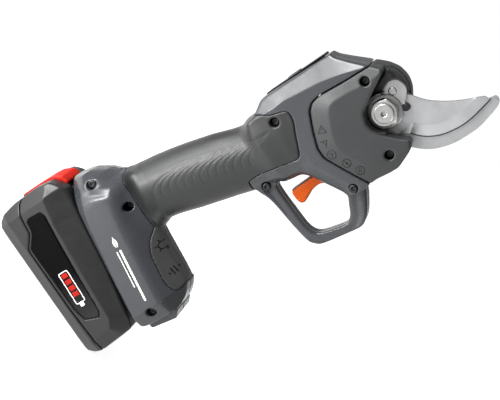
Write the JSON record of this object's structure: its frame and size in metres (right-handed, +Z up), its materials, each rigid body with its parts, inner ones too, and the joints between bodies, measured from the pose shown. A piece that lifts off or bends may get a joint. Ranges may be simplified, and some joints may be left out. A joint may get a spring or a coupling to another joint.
{
  "type": "battery electric pruner",
  "caption": "Hand-held battery pruner: bypass blades driven by a motor and bevel gear in the head, trigger inside a guard, rubber grip, slide-on battery that it stands on.",
  "frame": {"origin": "centre of the battery's flat bottom, on the parting plane", "axes": "+Z up from the battery to the blades, +X towards the trigger guard, +Y towards the closed gear cover"},
  "size_m": [0.1482, 0.0762, 0.3333],
  "materials": {
    "housing": "satin graphite grey",
    "cover": "fine matte texture",
    "grip": "soft-touch rubber",
    "battery": "fine matte texture",
    "label": "glossy black",
    "orange": "satin",
    "red": "satin",
    "black": "satin",
    "steel": "ground",
    "bright_steel": "zinc plated",
    "black_steel": "blackened",
    "bronze": "turned",
    "copper": "wound",
    "board": "solder mask",
    "cell": "sleeved",
    "rubber": "matte"
  },
  "bodies": {
    "tool": {"housing_left": "housing", "housing_right": "housing", "gear_cover_left": "cover", "gear_cover_right": "cover", "grip_left": "grip", "grip_right": "grip", "front_pad": "grip", "control_panel": "label", "housing_screw_1": "black_steel", "housing_screw_2": "black_steel", "housing_screw_3": "black_steel", "housing_screw_4": "black_steel", "housing_screw_5": "black_steel", "housing_screw_6": "black_steel", "cover_screw_1": "black_steel", "cover_screw_2": "black_steel", "counter_blade": "steel", "counter_blade_screw_1": "black_steel", "counter_blade_screw_2": "black_steel", "head_frame": "steel", "pivot_bolt": "bright_steel", "pivot_nut": "bright_steel", "blade_bumper": "rubber", "gearbox_case": "steel", "ring_gear": "steel", "motor_stator": "copper", "pinion_bearing": "bright_steel", "control_board": "board", "terminal_block": "bronze", "trigger_pin": "steel", "trigger_sensor_board": "board", "trigger_spring": "steel"},
    "blade": {"cutting_blade": "steel", "drive_gear": "steel", "drive_rivet": "steel", "drive_pin": "black_steel", "blade_bush": "bronze"},
    "gearbox_output": {"planet_carrier": "steel", "bevel_pinion": "steel"},
    "planet_1": {"planet_gear_1": "steel"},
    "planet_2": {"planet_gear_2": "steel"},
    "planet_3": {"planet_gear_3": "steel"},
    "rotor": {"motor_rotor": "steel", "sun_gear": "steel"},
    "trigger": {"trigger": "orange", "trigger_insert": "black"},
    "power_button": {"power_button": "black"},
    "battery": {"battery_lower_shell": "battery", "battery_upper_shell": "battery", "battery_label_left": "label", "battery_label_right": "label", "battery_contacts": "bronze", "cell_1": "cell", "cell_2": "cell", "cell_3": "cell", "cell_4": "cell", "cell_5": "cell", "latch_spring": "steel"},
    "release_button": {"release_button": "red"}
  },
  "joints": [
    {"name": "blade_pivot", "type": "hinge", "parent": "tool", "child": "blade", "pos_m": [0.028, 0, 0.266], "axis": [0, -1, 0], "range_deg": [0, 46]},
    {"name": "gearbox_spin", "type": "hinge", "parent": "tool", "child": "gearbox_output", "pos_m": [0.02074, 0.0025, 0.23689], "axis": [0.2419, 0, 0.9703], "range_deg": [0, 230]},
    {"name": "rotor_spin", "type": "hinge", "parent": "tool", "child": "rotor", "pos_m": [0.01349, 0.0025, 0.20778], "axis": [0.2419, 0, 0.9703], "range_deg": [0, 1035]},
    {"name": "planet_1_spin", "type": "hinge", "parent": "gearbox_output", "child": "planet_1", "pos_m": [0.02473, 0.0025, 0.21941], "axis": [0.2419, 0, 0.9703], "range_deg": [-644, 0]},
    {"name": "planet_2_spin", "type": "hinge", "parent": "gearbox_output", "child": "planet_2", "pos_m": [0.01294, 0.00951, 0.22235], "axis": [0.2419, 0, 0.9703], "range_deg": [-644, 0]},
    {"name": "planet_3_spin", "type": "hinge", "parent": "gearbox_output", "child": "planet_3", "pos_m": [0.01294, -0.00451, 0.22235], "axis": [0.2419, 0, 0.9703], "range_deg": [-644, 0]},
    {"name": "trigger_pull", "type": "hinge", "parent": "tool", "child": "trigger", "pos_m": [0.044, 0, 0.2116], "axis": [0, 1, 0], "range_deg": [0, 14], "stiffness_Nm_per_rad": 0.15, "springref_deg": -14.32, "deforming": ["trigger_spring"]},
    {"name": "power_button_press", "type": "slide", "parent": "tool", "child": "power_button", "axis": [1, 0, 0], "range_m": [0, 0.0006], "stiffness_N_per_m": 200, "springref_m": -0.001},
    {"name": "battery_slide", "type": "slide", "parent": "tool", "child": "battery", "axis": [-1, 0, 0], "range_m": [0, 0.09]},
    {"name": "release_press", "type": "slide", "parent": "battery", "child": "release_button", "axis": [1, 0, 0], "range_m": [0, 0.0015], "stiffness_N_per_m": 600, "springref_m": -0.002, "deforming": ["latch_spring"]}
  ],
  "couplings": [
    {"joint": "gearbox_spin", "follows": "blade_pivot", "ratio": 5},
    {"joint": "rotor_spin", "follows": "blade_pivot", "ratio": 22.5},
    {"joint": "planet_1_spin", "follows": "blade_pivot", "ratio": -14},
    {"joint": "planet_2_spin", "follows": "blade_pivot", "ratio": -14},
    {"joint": "planet_3_spin", "follows": "blade_pivot", "ratio": -14}
  ]
}
